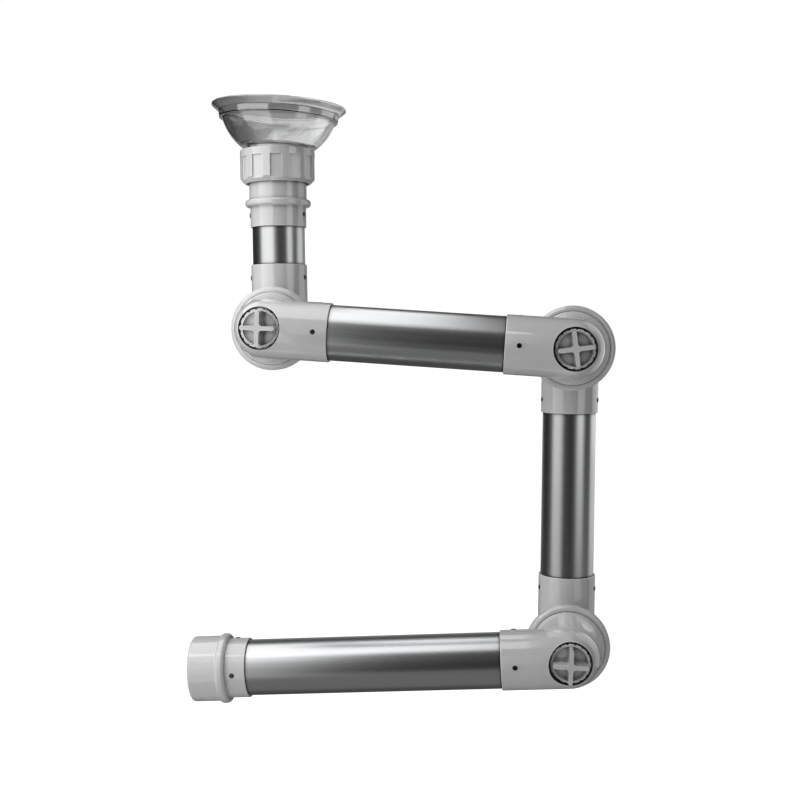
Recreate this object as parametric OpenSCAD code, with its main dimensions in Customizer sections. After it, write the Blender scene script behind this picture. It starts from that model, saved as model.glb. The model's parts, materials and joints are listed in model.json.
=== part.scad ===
// Fume extraction arm: aluminium duct tubes joined by friction elbows, with a clear bowl hood.
// Origin: on the lower tube's axis, at the stop ring that the duct is pushed up to. The lower arm
// runs along +X to the shoulder, +Z is up, and the knobs of the three elbows face -Y. Each elbow
// is a front half and a back half that meet on a flat joint face, so the arms lie in two planes:
// lower and upper arm in front, the middle arm and the hood arm behind.

/* [Arm layout] */
// Duct stop to shoulder axis
lower_len = 475; // [380:1:860]
// Shoulder axis to elbow axis
middle_len = 414; // [300:1:800]
// Elbow axis to wrist axis
upper_len = 417; // [300:1:800]
// Direction of the middle arm at rest, from +X towards +Z
middle_angle = 86.4; // [60:0.1:120]
// Direction of the upper arm at rest
upper_angle = 173.1; // [150:0.1:200]
// Direction of the hood arm at rest
hood_angle = 87.5; // [60:0.1:120]

/* [Tubes] */
// Outer diameter of every duct tube
tube_d = 75; // [70:0.5:80]
// Wall of the tubes
tube_wall = 1.5; // [1:0.1:2.5]

/* [Elbow halves] */
// Wall of the sleeve that takes a tube
sleeve_wall = 2.4; // [2:0.1:3]
// Slip gap between a tube and its sleeve
sleeve_gap = 0.1; // [0.05:0.01:0.2]
// Joint axis to the end of the sleeve
sleeve_len = 91.5; // [80:0.5:110]
// Joint axis to the end of the tube inside the sleeve
tube_entry = 46; // [44:0.5:55]
// Tube axis to the joint face
half_depth = 57; // [52:0.5:65]
// Wall of the hollow elbow body
body_wall = 3; // [2.5:0.1:3.5]
// Radius of the front half's flange
flange_r = 50.5; // [49:0.5:52]
// Thickness of a flange
flange_thick = 8; // [6:0.5:10]
// Radial gap between the front flange and the lip round it
nest_gap = 0.8; // [0.5:0.1:1.5]
// Radius of the back half's flange
back_flange_r = 58.5; // [57:0.5:62]
// Height of the lip that stands round the front flange
lip_h = 6; // [4:0.5:6.5]
// Gap between the two joint faces
joint_gap = 0.3; // [0.2:0.05:0.5]
// Radius of the hub that the tie rod runs through
hub_r = 11; // [9:0.5:13]

/* [Knob well] */
// Radius of the well round the knob
well_r = 29.3; // [28.5:0.1:30.5]
// Tube axis to the floor of the well
well_floor = 11; // [8:0.5:12]
// Wall and floor of the well
well_wall = 2.5; // [2:0.1:3]

/* [Clamping parts] */
// Radius of the tie rod
rod_r = 4; // [3.5:0.1:4.5]
// Running clearance round the tie rod
rod_gap = 0.06; // [0.02:0.01:0.1]
// Free gap round the rod in the hub and the knob
rod_free = 0.3; // [0.15:0.05:0.5]
// Height of the rod's hexagon head
rod_head_h = 5.3; // [4:0.1:6]
// Width across the flats of the rod's head
rod_head_af = 13; // [12:0.5:14]
// Wall of the hub bush
bush_wall = 2; // [1.5:0.1:2.5]
// Length of the hub bush
bush_len = 22; // [15:1:30]
// Thickness of the rubber friction ring
ring_thick = 1.8; // [1.2:0.1:2.5]
// Inner radius of the friction ring
ring_in_r = 42.5; // [41:0.5:44]
// Outer radius of the friction ring
ring_out_r = 46.5; // [45:0.5:48]
// Free height of the disc spring
spring_h = 1.8; // [1.4:0.1:2.2]
// Outer radius of the disc spring
spring_r = 9.5; // [8:0.5:10]
// Thickness of the spring leaf
spring_leaf = 1; // [0.8:0.1:1.2]
// Thickness of the thrust washer
washer_thick = 1.5; // [1:0.1:2]
// Outer radius of the thrust washer
washer_r = 12; // [11:0.5:13]

/* [Knob] */
// Radius over the lobes of the knob
knob_r = 26.5; // [25:0.1:27]
// Number of lobes
knob_lobes = 16; // [10:1:24]
// Radius of the hollows between the lobes
lobe_cut_r = 2.4; // [1.5:0.1:3]
// Depth of those hollows
lobe_depth = 1.3; // [0.8:0.1:1.8]
// Tube axis to the front of the knob's rim
rim_front = 27.4; // [25:0.1:30]
// Tube axis to the front of the cross grip
grip_front = 47; // [40:0.5:50]
// Wall of the knob's rim
rim_wall = 3.4; // [2.5:0.1:4]
// Depth of the four hollows inside the rim
pocket_depth = 5; // [3:0.1:6]
// Width of a rib of the cross grip
rib_w = 5.4; // [4.5:0.1:6.5]
// Length of the cross grip, end to end
grip_len = 46.5; // [42:0.5:48]
// Fillet between the ribs
rib_fillet = 4.2; // [3.8:0.1:6]
// Turn of the shoulder's knob, as tightened
knob_turn_shoulder = -5.5; // [-45:0.5:45]
// Turn of the elbow's knob
knob_turn_elbow = 4; // [-45:0.5:45]
// Turn of the wrist's knob
knob_turn_wrist = -5; // [-45:0.5:45]
// Radius of the threaded insert
insert_r = 7; // [6:0.5:8]

/* [Screws] */
// Radius of a screw head
screw_head_r = 3.4; // [3:0.1:4]
// Height of a screw head
screw_head_h = 2; // [1.5:0.1:2.5]
// Radius of a screw shank
screw_r = 1.9; // [1.5:0.1:2.2]
// Depth of the flat seat under a head
screw_seat = 0.9; // [0.7:0.1:1.2]
// Share of the head's height that its cross recess takes
recess_share = 0.6; // [0.4:0.05:0.7]
// Turn from a sleeve's outer screw to each of its flank screws
flank_turn = 104; // [90:1:110]
// Joint axis to the elbow's screws
elbow_screw_t = 73; // [60:0.5:80]

/* [Foot adapter] */
// Outer radius of the duct spigot
foot_spigot_r = 43.9; // [42.5:0.1:45]
// Wall of the spigot
foot_wall = 3.2; // [2.5:0.1:4]
// Length of the spigot from its mouth to the stop ring
foot_spigot_len = 38.5; // [30:0.5:60]
// Rounding of the mouth's edge
foot_round = 3; // [0.5:0.1:3]
// Radius of the stop ring
stop_ring_r = 46.9; // [46:0.1:48]
// Width of the stop ring
stop_ring_w = 12.5; // [10:0.5:14]
// Stop ring to the end of the tube sleeve
foot_sleeve_len = 27.5; // [22:0.5:40]
// Mouth to the foot's screws
foot_screw_t = 61; // [59:0.5:66]
// Rounding of the stop ring
ring_round = 4.5; // [1:0.1:4.5]

/* [Hood adapter] */
// Wrist axis to the start of the hood adapter
adapter_start = 145; // [130:1:300]
// Length of the adapter's tube sleeve
adapter_sleeve_len = 29; // [26:0.5:40]
// Share of that sleeve from its start to its screws
adapter_screw_share = 0.6; // [0.5:0.05:0.7]
// Width of the adapter's ring
adapter_ring_w = 10; // [8:0.5:12]
// Radius of the adapter's ring
adapter_ring_r = 47; // [46:0.1:48]
// Radius of the plain spigot above the ring
adapter_spigot_r = 41.1; // [40.5:0.1:42]
// Length of the plain spigot, up to its thread
adapter_spigot_len = 28; // [24:0.5:34]
// Radius over the thread
thread_r = 44; // [43:0.1:45]
// Length of the thread
thread_len = 28; // [24:0.5:32]
// Bore of the adapter above the tube
adapter_bore_r = 38; // [37.6:0.1:38.5]
// Rounding of the adapter's ring
adapter_round = 4; // [1:0.1:4]
// Thickness of the hood gasket
gasket_thick = 2; // [1.5:0.1:3]

/* [Ring nut] */
// Outer radius of the ring nut
nut_r = 53.5; // [52.5:0.1:56]
// Height of the ring nut
nut_h = 48; // [46:0.5:50]
// Number of grip panels
nut_panels = 12; // [8:1:16]
// Width of a grip panel
panel_w = 16.5; // [10:0.5:18]
// Depth of a grip panel
panel_depth = 2.4; // [1.5:0.1:2.6]
// Nut top to the top of a panel
panel_top = 11; // [8:0.5:14]
// Chamfer at the foot of the nut
nut_chamfer = 6.5; // [4:0.5:7.5]
// Thickness of the lip that holds the bowl
nut_lip = 4.4; // [3.5:0.1:5]
// Rounding of the nut's top edge
nut_round = 2.5; // [0.5:0.1:3]
// Turn of the nut, as tightened
nut_turn = 8.4; // [0:0.1:30]

/* [Bowl hood] */
// Lean of the bowl in its loose collar
hood_lean = 3; // [0:0.5:3]
// Wall of the clear bowl
bowl_wall = 2.6; // [2:0.1:3]
// Width of the collar that the nut holds
collar_w = 4.9; // [4.2:0.1:5.2]
// Thickness of the collar
collar_h = 3; // [2.5:0.1:3.2]
// Radius of the bowl's neck
neck_r = 43.4; // [42.5:0.1:43.8]
// Radius of the bowl's round body
bowl_r = 79.5; // [76:0.5:82]
// Top of the nut to the step under the rim
bowl_depth = 42; // [38:0.5:46]
// Width of the step under the band
step_w = 4; // [3.4:0.1:6]
// Height of the band
band_h = 9; // [6:0.5:12]
// Width of the flare, from the band to the hood's rim
flare_w = 11.4; // [8:0.1:15]
// Height of the flare from the band to the rim
flare_h = 9; // [7:0.5:12]
// Hood axis to the centre of the round body's arc
bowl_offset = 5; // [0:0.5:8]
// Width of the flat foot, from the neck to the start of the round body
bowl_foot_w = 9.6; // [8:0.1:12]
// Radius of the rim's bead
bead_r = 1.6; // [1.4:0.1:2]

/* [Edges and clearances] */
// Rounding of moulded edges
edge_round = 0.8; // [0.2:0.1:1]
// Rounding behind the front flange
flange_round = 1.5; // [0.5:0.1:2]
// Rounding behind the back flange
back_round = 2; // [0.5:0.1:2.5]
// Step between the sleeve and the neck of the drum
neck_step = 0.4; // [0.2:0.1:0.6]
// Overlap of the cross grip and the rim's floor
rim_round = 0.5; // [0.3:0.1:0.8]
// Height of the pad under the tie rod's head
pad_h = 1.5; // [1:0.1:2]
// Slack round the tie rod's head and washers
head_slack = 0.2; // [0.1:0.05:0.3]
// Slack round screws and rings
screw_clear = 0.1; // [0.05:0.01:0.15]
// Radial gap in the ring nut's thread
nut_gap = 0.3; // [0.2:0.05:0.5]
// Gap between stacked flat parts
flat_gap = 0.1; // [0.05:0.01:0.2]
// Radial gap round pressed parts
press_gap = 0.02; // [0:0.01:0.04]

/* [Hidden] */
$fn = 96;
overrun = 2;
tube_r = tube_d / 2;
seat_r = tube_r + sleeve_gap;
sleeve_r = seat_r + sleeve_wall;
cavity_r = sleeve_r - body_wall;
stop_rib_r = tube_r - tube_wall;
stop_rib_w = sleeve_wall;
drum_r = sleeve_r + neck_step;
drum_bore_r = sleeve_r - neck_step - tube_wall;
flare_r = flange_r - flange_round;
flare_rise = half_depth - flange_thick;
flare_arc = (pow(flare_rise, 2) + pow(flare_r - drum_r, 2)) / (flare_r - drum_r) / 2;
face_z = half_depth - joint_gap / 2;
lip_in_r = flange_r + nest_gap;
lip_round = back_flange_r - lip_in_r - edge_round;
cup_r = well_r + well_wall;
pad_r = rod_head_af / 2 + well_wall + body_wall;
head_recess = rod_head_h + pad_h;
rod_back_z = sleeve_r + pad_h - head_recess;
bush_out_r = rod_r + rod_gap + bush_wall;
rod_clear_r = rod_r + rod_free;
spring_in_r = rod_r + head_slack;
washer_back = well_floor + spring_h + flat_gap;
knob_back = washer_back + washer_thick + flat_gap;
pocket_floor = rim_front - pocket_depth;
insert_len = pocket_floor - knob_back - well_wall / 2;
rod_front = knob_back + insert_len + 3 * washer_thick;
rod_bore_r = rod_r + rod_gap;
grip_round = rib_w / 2;
core_in_r = washer_r + rim_wall / 2;
core_depth = insert_len / 2;
socket_w = screw_r / 2;
socket_depth = screw_head_h * recess_share;
joint_depth = 2 * half_depth;
back = [0, joint_depth, 0];

function along(p, angle, len) = p + len * [cos(angle), 0, sin(angle)];
shoulder_pos = [lower_len, 0, 0];
elbow_pos = along(shoulder_pos, middle_angle, middle_len);
wrist_pos = along(elbow_pos, upper_angle, upper_len);

foot_sleeve_x = stop_ring_w;
foot_end_x = foot_sleeve_x + foot_sleeve_len;
foot_tube_x = stop_rib_w;
foot_screw_x = foot_screw_t - foot_spigot_len;

adapter_ring_t = adapter_start + adapter_sleeve_len;
adapter_spigot_t = adapter_ring_t + adapter_ring_w;
adapter_tube_t = adapter_ring_t + adapter_ring_w;
thread_t = adapter_spigot_t + adapter_spigot_len;
adapter_top = thread_t + thread_len;
adapter_screw_t = adapter_start + adapter_sleeve_len * adapter_screw_share;
collar_r = neck_r + collar_w;
lean_rise = collar_r * sin(hood_lean);
collar_t = adapter_top + gasket_thick + lean_rise + joint_gap;
nut_lip_t = collar_t + collar_h + lean_rise + joint_gap;
nut_top = nut_lip_t + nut_lip;
nut_foot = nut_top - nut_h;
step_t = nut_top - collar_t + bowl_depth;
band_t = step_t + band_h;
rim_t = band_t + flare_h;
bowl_floor_t = nut_top - collar_t + nut_r * sin(hood_lean) + joint_gap;
bowl_centre_t = bowl_floor_t + sqrt(pow(bowl_r, 2) - pow(neck_r + bowl_foot_w - bowl_offset, 2));

// Outer radius of the round body at a distance from the collar
function bowl_r_at(t) = bowl_offset + bowl_r * sin(acos((bowl_centre_t - t) / bowl_r));
top_r = bowl_r_at(step_t);
band_r = top_r + step_w;
rim_r = band_r + flare_w;
nut_cavity_r = collar_r + nut_gap + gasket_thick / 4;
nut_lip_r = neck_r + nut_lip / 2;

PLASTIC = [0.80, 0.80, 0.81];
ALUMINIUM = [0.72, 0.73, 0.74];
STEEL = [0.62, 0.63, 0.65];
RUBBER = [0.12, 0.12, 0.13];
BRASS = [0.78, 0.66, 0.36];
CLEAR = [0.85, 0.88, 0.90, 0.35];

// Frames. A tube frame has its X along the tube and its Y along the joint axes.
module tube_frame(pos, angle) translate(pos) rotate([0, -angle, 0]) children();

// Turns a solid that was drawn along Z so that it points along the tube
module down_tube() rotate([0, 90, 0]) children();

// Turns a solid drawn along Z towards the joint face: side 1 is a front half, -1 a back half
module to_joint(side) rotate([-90 * side, 0, 0]) children();

// Outline of a disc whose lower and upper outer corners are rounded
module disc_profile(r, h, low, high) {
    square([r - max(low, high), h]);
    translate([0, low]) square([r, h - low - high]);
    square([r - low, h / 2]);
    translate([0, h / 2]) square([r - high, h / 2]);
    translate([r - low, low]) circle(r = low);
    translate([r - high, h - high]) circle(r = high);
}

module cyl_between(r, from, to) translate([0, 0, from]) cylinder(r = r, h = to - from);

// Places for the three screws of a sleeve: one on the outer side, two at its flanks
module on_sleeve(t, side)
    for (turn = [-flank_turn, 0, flank_turn])
        translate([t, 0, 0]) rotate([turn, 0, 0]) rotate([90 * side, 0, 0]) children();

// Hole through the sleeve and the tube, with a flat seat for the head
module screw_hole() {
    cyl_between(screw_r + screw_clear, tube_r - tube_wall - overrun, sleeve_r + overrun);
    cyl_between(screw_head_r + screw_clear, sleeve_r - screw_seat, sleeve_r + overrun);
}

// Self-tapping screw with a cross recess, its axis on Z from the centre of the tube
module screw() {
    head_low = sleeve_r - screw_seat;
    difference() {
        union() {
            cyl_between(screw_r, tube_r - tube_wall - overrun, head_low + screw_head_h / 2);
            translate([0, 0, head_low]) rotate_extrude()
                disc_profile(screw_head_r, screw_head_h, 0, screw_head_h / 2);
        }
        for (turn = [0, 90])
            rotate([0, 0, turn])
                translate([-screw_r, -socket_w / 2, head_low + screw_head_h - socket_depth])
                    cube([2 * screw_r, socket_w, socket_depth + overrun]);
    }
}

// A plain tube between two distances along its frame
module tube_between(from, to)
    down_tube() difference() {
        cyl_between(tube_r, from, to);
        cyl_between(tube_r - tube_wall, from - overrun, to + overrun);
    }

// Elbow halves

// Outside of the sleeve and its round end
module shell_outer()
    down_tube() rotate_extrude() {
        intersection() {
            circle(r = sleeve_r);
            translate([0, -sleeve_r]) square([sleeve_r, sleeve_r]);
        }
        disc_profile(sleeve_r, sleeve_len, 0, edge_round);
    }

// Hollow of the sleeve: round end, passage, stop rib and the seat of the tube
module shell_inner()
    down_tube() rotate_extrude() {
        intersection() {
            circle(r = cavity_r);
            translate([0, -sleeve_r]) square([sleeve_r, sleeve_r]);
        }
        square([cavity_r, tube_entry - stop_rib_w]);
        square([stop_rib_r, sleeve_len]);
        translate([0, tube_entry]) square([seat_r, sleeve_len - tube_entry + overrun]);
    }

// Flared drum between the sleeve and the flange
module drum_profile()
    difference() {
        square([flare_r, face_z - flange_thick / 2]);
        translate([drum_r + flare_arc, 0]) circle(r = flare_arc, $fn = 4 * $fn);
    }

module front_flange_profile()
    translate([0, flare_rise])
        disc_profile(flange_r, face_z - flare_rise, flange_round, edge_round);

// Flange with a lip that stands round the front flange, rounded at its outer edge
module back_flange_profile()
    difference() {
        union() {
            translate([0, flare_rise])
                disc_profile(back_flange_r, flange_thick, back_round, back_round);
            translate([0, half_depth - back_round])
                disc_profile(back_flange_r, lip_h + back_round, 0, lip_round);
        }
        translate([0, face_z]) square([lip_in_r, lip_h + overrun]);
    }

module half_outer(side) {
    shell_outer();
    to_joint(side) rotate_extrude() {
        drum_profile();
        if (side > 0) front_flange_profile();
        else back_flange_profile();
    }
}

module elbow_half(side) {
    difference() {
        union() {
            difference() {
                half_outer(side);
                shell_inner();
                to_joint(side) cyl_between(drum_bore_r, 0, half_depth + overrun);
            }
            if (side > 0) front_hub();
            else back_hub();
        }
        if (side > 0) front_cuts();
        else back_cuts();
        on_sleeve(elbow_screw_t, side) screw_hole();
    }
}

// Cup of the knob well with the hub behind it
module front_hub() {
    intersection() {
        shell_outer();
        to_joint(1) cyl_between(cup_r, -sleeve_r - overrun, well_wall - well_floor);
    }
    to_joint(1) cyl_between(hub_r, -well_floor, face_z);
}

module front_cuts()
    to_joint(1) {
        cyl_between(well_r, -sleeve_r - overrun, -well_floor);
        cyl_between(rod_clear_r, -well_floor - overrun, face_z + overrun);
        cyl_between(bush_out_r + press_gap, face_z - bush_len, face_z + overrun);
    }

// Hub that runs back to a pad on the round back of the elbow
module back_hub()
    to_joint(-1) {
        cyl_between(hub_r, -cavity_r - overrun, face_z);
        translate([0, 0, -sleeve_r - pad_h]) rotate([180, 0, 0]) translate([0, 0, -pad_h - 2 * body_wall])
            rotate_extrude() disc_profile(pad_r, pad_h + 2 * body_wall, 0, edge_round);
    }

module back_cuts()
    to_joint(-1) {
        cyl_between(rod_r + screw_clear, -sleeve_r, face_z + overrun);
        translate([0, 0, -sleeve_r - pad_h - overrun])
            cylinder(r = (rod_head_af / 2 + head_slack) / cos(30), h = head_recess + overrun, $fn = 6);
        difference() {
            cyl_between(ring_out_r + screw_clear, face_z - ring_thick + joint_gap, face_z + overrun);
            cyl_between(ring_in_r - screw_clear, face_z - ring_thick, face_z + 2 * overrun);
        }
    }

// Rubber ring in the back half's groove, pressed on the front flange
module friction_ring()
    to_joint(-1) difference() {
        cyl_between(ring_out_r, face_z - ring_thick + joint_gap, face_z + joint_gap - flat_gap);
        cyl_between(ring_in_r, half_depth - 2 * ring_thick, half_depth + ring_thick);
    }

// Hexagon-headed rod from the pad of the back half to the knob, drawn in the front half's frame
module tie_rod() {
    head_y = joint_depth + rod_back_z;
    rotate([-90, 0, 0]) {
        cyl_between(rod_r, -rod_front, head_y + rod_head_h / 2);
        translate([0, 0, head_y]) cylinder(r = rod_head_af / 2 / cos(30), h = rod_head_h, $fn = 6);
    }
}

module hub_bush()
    to_joint(1) difference() {
        cyl_between(bush_out_r, face_z - bush_len, face_z);
        cyl_between(rod_bore_r, face_z - bush_len - overrun, face_z + overrun);
    }

// Conical spring washer on the floor of the well
module disc_spring()
    rotate([90, 0, 0]) rotate_extrude() polygon([
        [spring_in_r, well_floor + spring_h - spring_leaf],
        [spring_r, well_floor],
        [spring_r, well_floor + spring_leaf],
        [spring_in_r, well_floor + spring_h]]);

module thrust_washer()
    rotate([90, 0, 0]) difference() {
        cyl_between(washer_r, washer_back, washer_back + washer_thick);
        cyl_between(rod_r + head_slack, washer_back - overrun, knob_back + overrun);
    }

// Plan of the cross grip: two ribs with round ends and filleted inner corners
module cross_plan() {
    for (turn = [0, 90])
        rotate([0, 0, turn]) {
            square([grip_len - 2 * grip_round, rib_w], center = true);
            for (end = [-1, 1])
                translate([end * (grip_len / 2 - grip_round), 0]) circle(r = grip_round);
        }
    difference() {
        square(rib_w + 2 * rib_fillet, center = true);
        for (x = [-1, 1], y = [-1, 1])
            translate([x, y] * (rib_w / 2 + rib_fillet)) circle(r = rib_fillet);
    }
}

// Lobed knob with a rim, four hollows and a tall cross grip
module knob(turn) {
    pitch_angle = 360 / knob_lobes;
    pocket_r = knob_r - rim_wall;
    rotate([90, 0, 0]) rotate([0, 0, turn]) difference() {
        union() {
            difference() {
                translate([0, 0, knob_back]) rotate_extrude()
                    disc_profile(knob_r, rim_front - knob_back, edge_round, edge_round);
                for (i = [0 : knob_lobes - 1])
                    rotate([0, 0, (i + 1 / 2) * pitch_angle])
                        translate([knob_r - lobe_depth + lobe_cut_r, 0, 0])
                            cyl_between(lobe_cut_r, knob_back - overrun, rim_front + overrun);
                cyl_between(pocket_r, pocket_floor, rim_front + overrun);
            }
            translate([0, 0, pocket_floor - rim_round])
                linear_extrude(grip_front - pocket_floor + rim_round) cross_plan();
        }
        cyl_between(insert_r + press_gap, knob_back - overrun, knob_back + insert_len);
        cyl_between(rod_clear_r, knob_back, rod_front + rod_r / 2);
        difference() {
            cyl_between(pocket_r, knob_back - overrun, knob_back + core_depth);
            cyl_between(core_in_r, knob_back - 2 * overrun, knob_back + core_depth + overrun);
        }
    }
}

module knob_insert()
    rotate([90, 0, 0]) difference() {
        cyl_between(insert_r, knob_back, knob_back + insert_len);
        cyl_between(rod_bore_r, knob_back - overrun, knob_back + insert_len + overrun);
    }

// Foot and hood pieces

module foot_outer()
    rotate_extrude() {
        translate([0, -foot_spigot_len])
            disc_profile(foot_spigot_r, foot_spigot_len + ring_round, foot_round, 0);
        disc_profile(stop_ring_r, stop_ring_w, ring_round, ring_round);
        translate([0, foot_sleeve_x - ring_round])
            disc_profile(sleeve_r, foot_sleeve_len + ring_round, 0, edge_round);
    }

module duct_adapter()
    color(PLASTIC) difference() {
        down_tube() difference() {
            foot_outer();
            cyl_between(foot_spigot_r - foot_wall, -foot_spigot_len - overrun, -foot_wall);
            cyl_between(stop_rib_r, -foot_spigot_len, foot_tube_x);
            cyl_between(seat_r, foot_tube_x, foot_end_x + overrun);
        }
        on_sleeve(foot_screw_x, 1) screw_hole();
    }

module hood_adapter()
    color(PLASTIC) tube_frame(wrist_pos + back, hood_angle) difference() {
        down_tube() difference() {
            rotate_extrude() {
                translate([0, adapter_start])
                    disc_profile(sleeve_r, adapter_sleeve_len + adapter_round, edge_round, 0);
                translate([0, adapter_ring_t])
                    disc_profile(adapter_ring_r, adapter_ring_w, adapter_round, adapter_round);
                translate([0, adapter_spigot_t - adapter_round])
                    square([adapter_spigot_r, adapter_spigot_len + 2 * adapter_round]);
                translate([0, thread_t]) disc_profile(thread_r, thread_len, edge_round, edge_round);
            }
            cyl_between(seat_r, adapter_start - overrun, adapter_tube_t);
            cyl_between(stop_rib_r, adapter_start, adapter_tube_t + stop_rib_w);
            cyl_between(adapter_bore_r, adapter_tube_t + stop_rib_w, adapter_top + overrun);
        }
        on_sleeve(adapter_screw_t, -1) screw_hole();
    }

module hood_gasket()
    color(RUBBER) tube_frame(wrist_pos + back, hood_angle) down_tube() difference() {
        cyl_between(thread_r - edge_round, adapter_top, adapter_top + gasket_thick);
        cyl_between(adapter_bore_r, adapter_top - overrun, adapter_top + gasket_thick + overrun);
    }

// Ring nut: grip panels open towards the chamfer at its foot, a lip holds the bowl's collar
module ring_nut()
    color(PLASTIC) tube_frame(wrist_pos + back, hood_angle) down_tube() difference() {
        rotate_extrude() difference() {
            translate([0, nut_foot]) disc_profile(nut_r, nut_h, 0, nut_round);
            polygon([
                [nut_r - nut_chamfer - overrun, nut_foot - overrun],
                [nut_r + overrun, nut_foot - overrun],
                [nut_r + overrun, nut_foot + nut_chamfer + overrun]]);
        }
        cyl_between(thread_r + nut_gap, nut_foot - overrun, adapter_top);
        cyl_between(nut_cavity_r, adapter_top - overrun, nut_lip_t);
        cyl_between(nut_lip_r, nut_lip_t - overrun, nut_top + overrun);
        for (i = [0 : nut_panels - 1])
            rotate([0, 0, i * 360 / nut_panels + nut_turn])
                translate([nut_r - panel_depth, -panel_w / 2, nut_foot - overrun])
                    cube([panel_depth + overrun, panel_w, nut_h - panel_top + overrun]);
    }

// The bowl's distances start at its collar
module bowl_round(r)
    intersection() {
        translate([bowl_offset, bowl_centre_t]) circle(r = r, $fn = 2 * $fn);
        square([bowl_r + bowl_offset, step_t]);
    }

module bowl_profile() {
    floor_r = bowl_r_at(bowl_floor_t + bowl_wall / 2);
    // collar, neck and floor
    translate([neck_r - bowl_wall, 0]) square([collar_r - neck_r + bowl_wall, collar_h]);
    translate([neck_r - bowl_wall, 0]) square([bowl_wall, bowl_floor_t + bowl_wall]);
    translate([neck_r - bowl_wall, bowl_floor_t]) square([floor_r - neck_r + bowl_wall, bowl_wall]);
    // round body
    difference() {
        bowl_round(bowl_r);
        bowl_round(bowl_r - bowl_wall);
        square([bowl_r, bowl_floor_t + bowl_wall / 2]);
    }
    // step, band and flare
    polygon([
        [top_r - bowl_wall, step_t - bowl_wall / 2],
        [top_r, step_t - bowl_wall / 2],
        [band_r, step_t],
        [band_r + bowl_wall / 2, band_t],
        [rim_r - bead_r, rim_t - bead_r],
        [rim_r - bead_r, rim_t + bead_r / 2],
        [rim_r - bead_r - bowl_wall, rim_t],
        [band_r - bowl_wall / 2, band_t + bowl_wall],
        [band_r - bowl_wall, step_t + bowl_wall],
        [top_r - bowl_wall, step_t + bowl_wall / 2]]);
    translate([rim_r - bead_r, rim_t]) circle(r = bead_r);
}

module hood_bowl()
    color(CLEAR) tube_frame(wrist_pos + back, hood_angle)
        translate([collar_t, 0, 0]) rotate([0, hood_lean, 0]) down_tube()
            rotate_extrude() bowl_profile();

// Tubes, with the holes for the screws that hold their sleeves

module lower_tube()
    color(ALUMINIUM) difference() {
        tube_between(foot_tube_x, lower_len - tube_entry);
        on_sleeve(foot_screw_x, 1) screw_hole();
        on_sleeve(lower_len - elbow_screw_t, 1) screw_hole();
    }

module middle_tube()
    color(ALUMINIUM) tube_frame(shoulder_pos + back, middle_angle) difference() {
        tube_between(tube_entry, middle_len - tube_entry);
        on_sleeve(elbow_screw_t, -1) screw_hole();
        on_sleeve(middle_len - elbow_screw_t, -1) screw_hole();
    }

module upper_tube()
    color(ALUMINIUM) tube_frame(elbow_pos, upper_angle) difference() {
        tube_between(tube_entry, upper_len - tube_entry);
        on_sleeve(elbow_screw_t, 1) screw_hole();
        on_sleeve(upper_len - elbow_screw_t, 1) screw_hole();
    }

module hood_tube()
    color(ALUMINIUM) tube_frame(wrist_pos + back, hood_angle) difference() {
        tube_between(tube_entry, adapter_tube_t);
        on_sleeve(elbow_screw_t, -1) screw_hole();
        on_sleeve(adapter_screw_t, -1) screw_hole();
    }

module lower_arm_screws()
    color(STEEL) {
        on_sleeve(foot_screw_x, 1) screw();
        on_sleeve(lower_len - elbow_screw_t, 1) screw();
    }

module middle_arm_screws()
    color(STEEL) tube_frame(shoulder_pos + back, middle_angle) {
        on_sleeve(elbow_screw_t, -1) screw();
        on_sleeve(middle_len - elbow_screw_t, -1) screw();
    }

module upper_arm_screws()
    color(STEEL) tube_frame(elbow_pos, upper_angle) {
        on_sleeve(elbow_screw_t, 1) screw();
        on_sleeve(upper_len - elbow_screw_t, 1) screw();
    }

module hood_arm_screws()
    color(STEEL) tube_frame(wrist_pos + back, hood_angle) {
        on_sleeve(elbow_screw_t, -1) screw();
        on_sleeve(adapter_screw_t, -1) screw();
    }

// The six elbow halves
module shoulder_front_half() color(PLASTIC) tube_frame(shoulder_pos, 180) elbow_half(1);
module shoulder_back_half() color(PLASTIC) tube_frame(shoulder_pos + back, middle_angle) elbow_half(-1);
module elbow_front_half() color(PLASTIC) tube_frame(elbow_pos, upper_angle) elbow_half(1);
module elbow_back_half() color(PLASTIC) tube_frame(elbow_pos + back, middle_angle + 180) elbow_half(-1);
module wrist_front_half() color(PLASTIC) tube_frame(wrist_pos, upper_angle + 180) elbow_half(1);
module wrist_back_half() color(PLASTIC) tube_frame(wrist_pos + back, hood_angle) elbow_half(-1);

// Clamping parts of the three joints
module shoulder_friction_ring() color(RUBBER) tube_frame(shoulder_pos + back, middle_angle) friction_ring();
module elbow_friction_ring() color(RUBBER) tube_frame(elbow_pos + back, middle_angle) friction_ring();
module wrist_friction_ring() color(RUBBER) tube_frame(wrist_pos + back, hood_angle) friction_ring();
module shoulder_tie_rod() color(STEEL) tube_frame(shoulder_pos, middle_angle) tie_rod();
module elbow_tie_rod() color(STEEL) tube_frame(elbow_pos, middle_angle) tie_rod();
module wrist_tie_rod() color(STEEL) tube_frame(wrist_pos, hood_angle) tie_rod();
module shoulder_hub_bush() color(STEEL) translate(shoulder_pos) hub_bush();
module elbow_hub_bush() color(STEEL) translate(elbow_pos) hub_bush();
module wrist_hub_bush() color(STEEL) translate(wrist_pos) hub_bush();
module shoulder_disc_spring() color(STEEL) translate(shoulder_pos) disc_spring();
module elbow_disc_spring() color(STEEL) translate(elbow_pos) disc_spring();
module wrist_disc_spring() color(STEEL) translate(wrist_pos) disc_spring();
module shoulder_thrust_washer() color(STEEL) translate(shoulder_pos) thrust_washer();
module elbow_thrust_washer() color(STEEL) translate(elbow_pos) thrust_washer();
module wrist_thrust_washer() color(STEEL) translate(wrist_pos) thrust_washer();
module shoulder_knob() color(PLASTIC) translate(shoulder_pos) knob(knob_turn_shoulder);
module elbow_knob() color(PLASTIC) translate(elbow_pos) knob(knob_turn_elbow);
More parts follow.
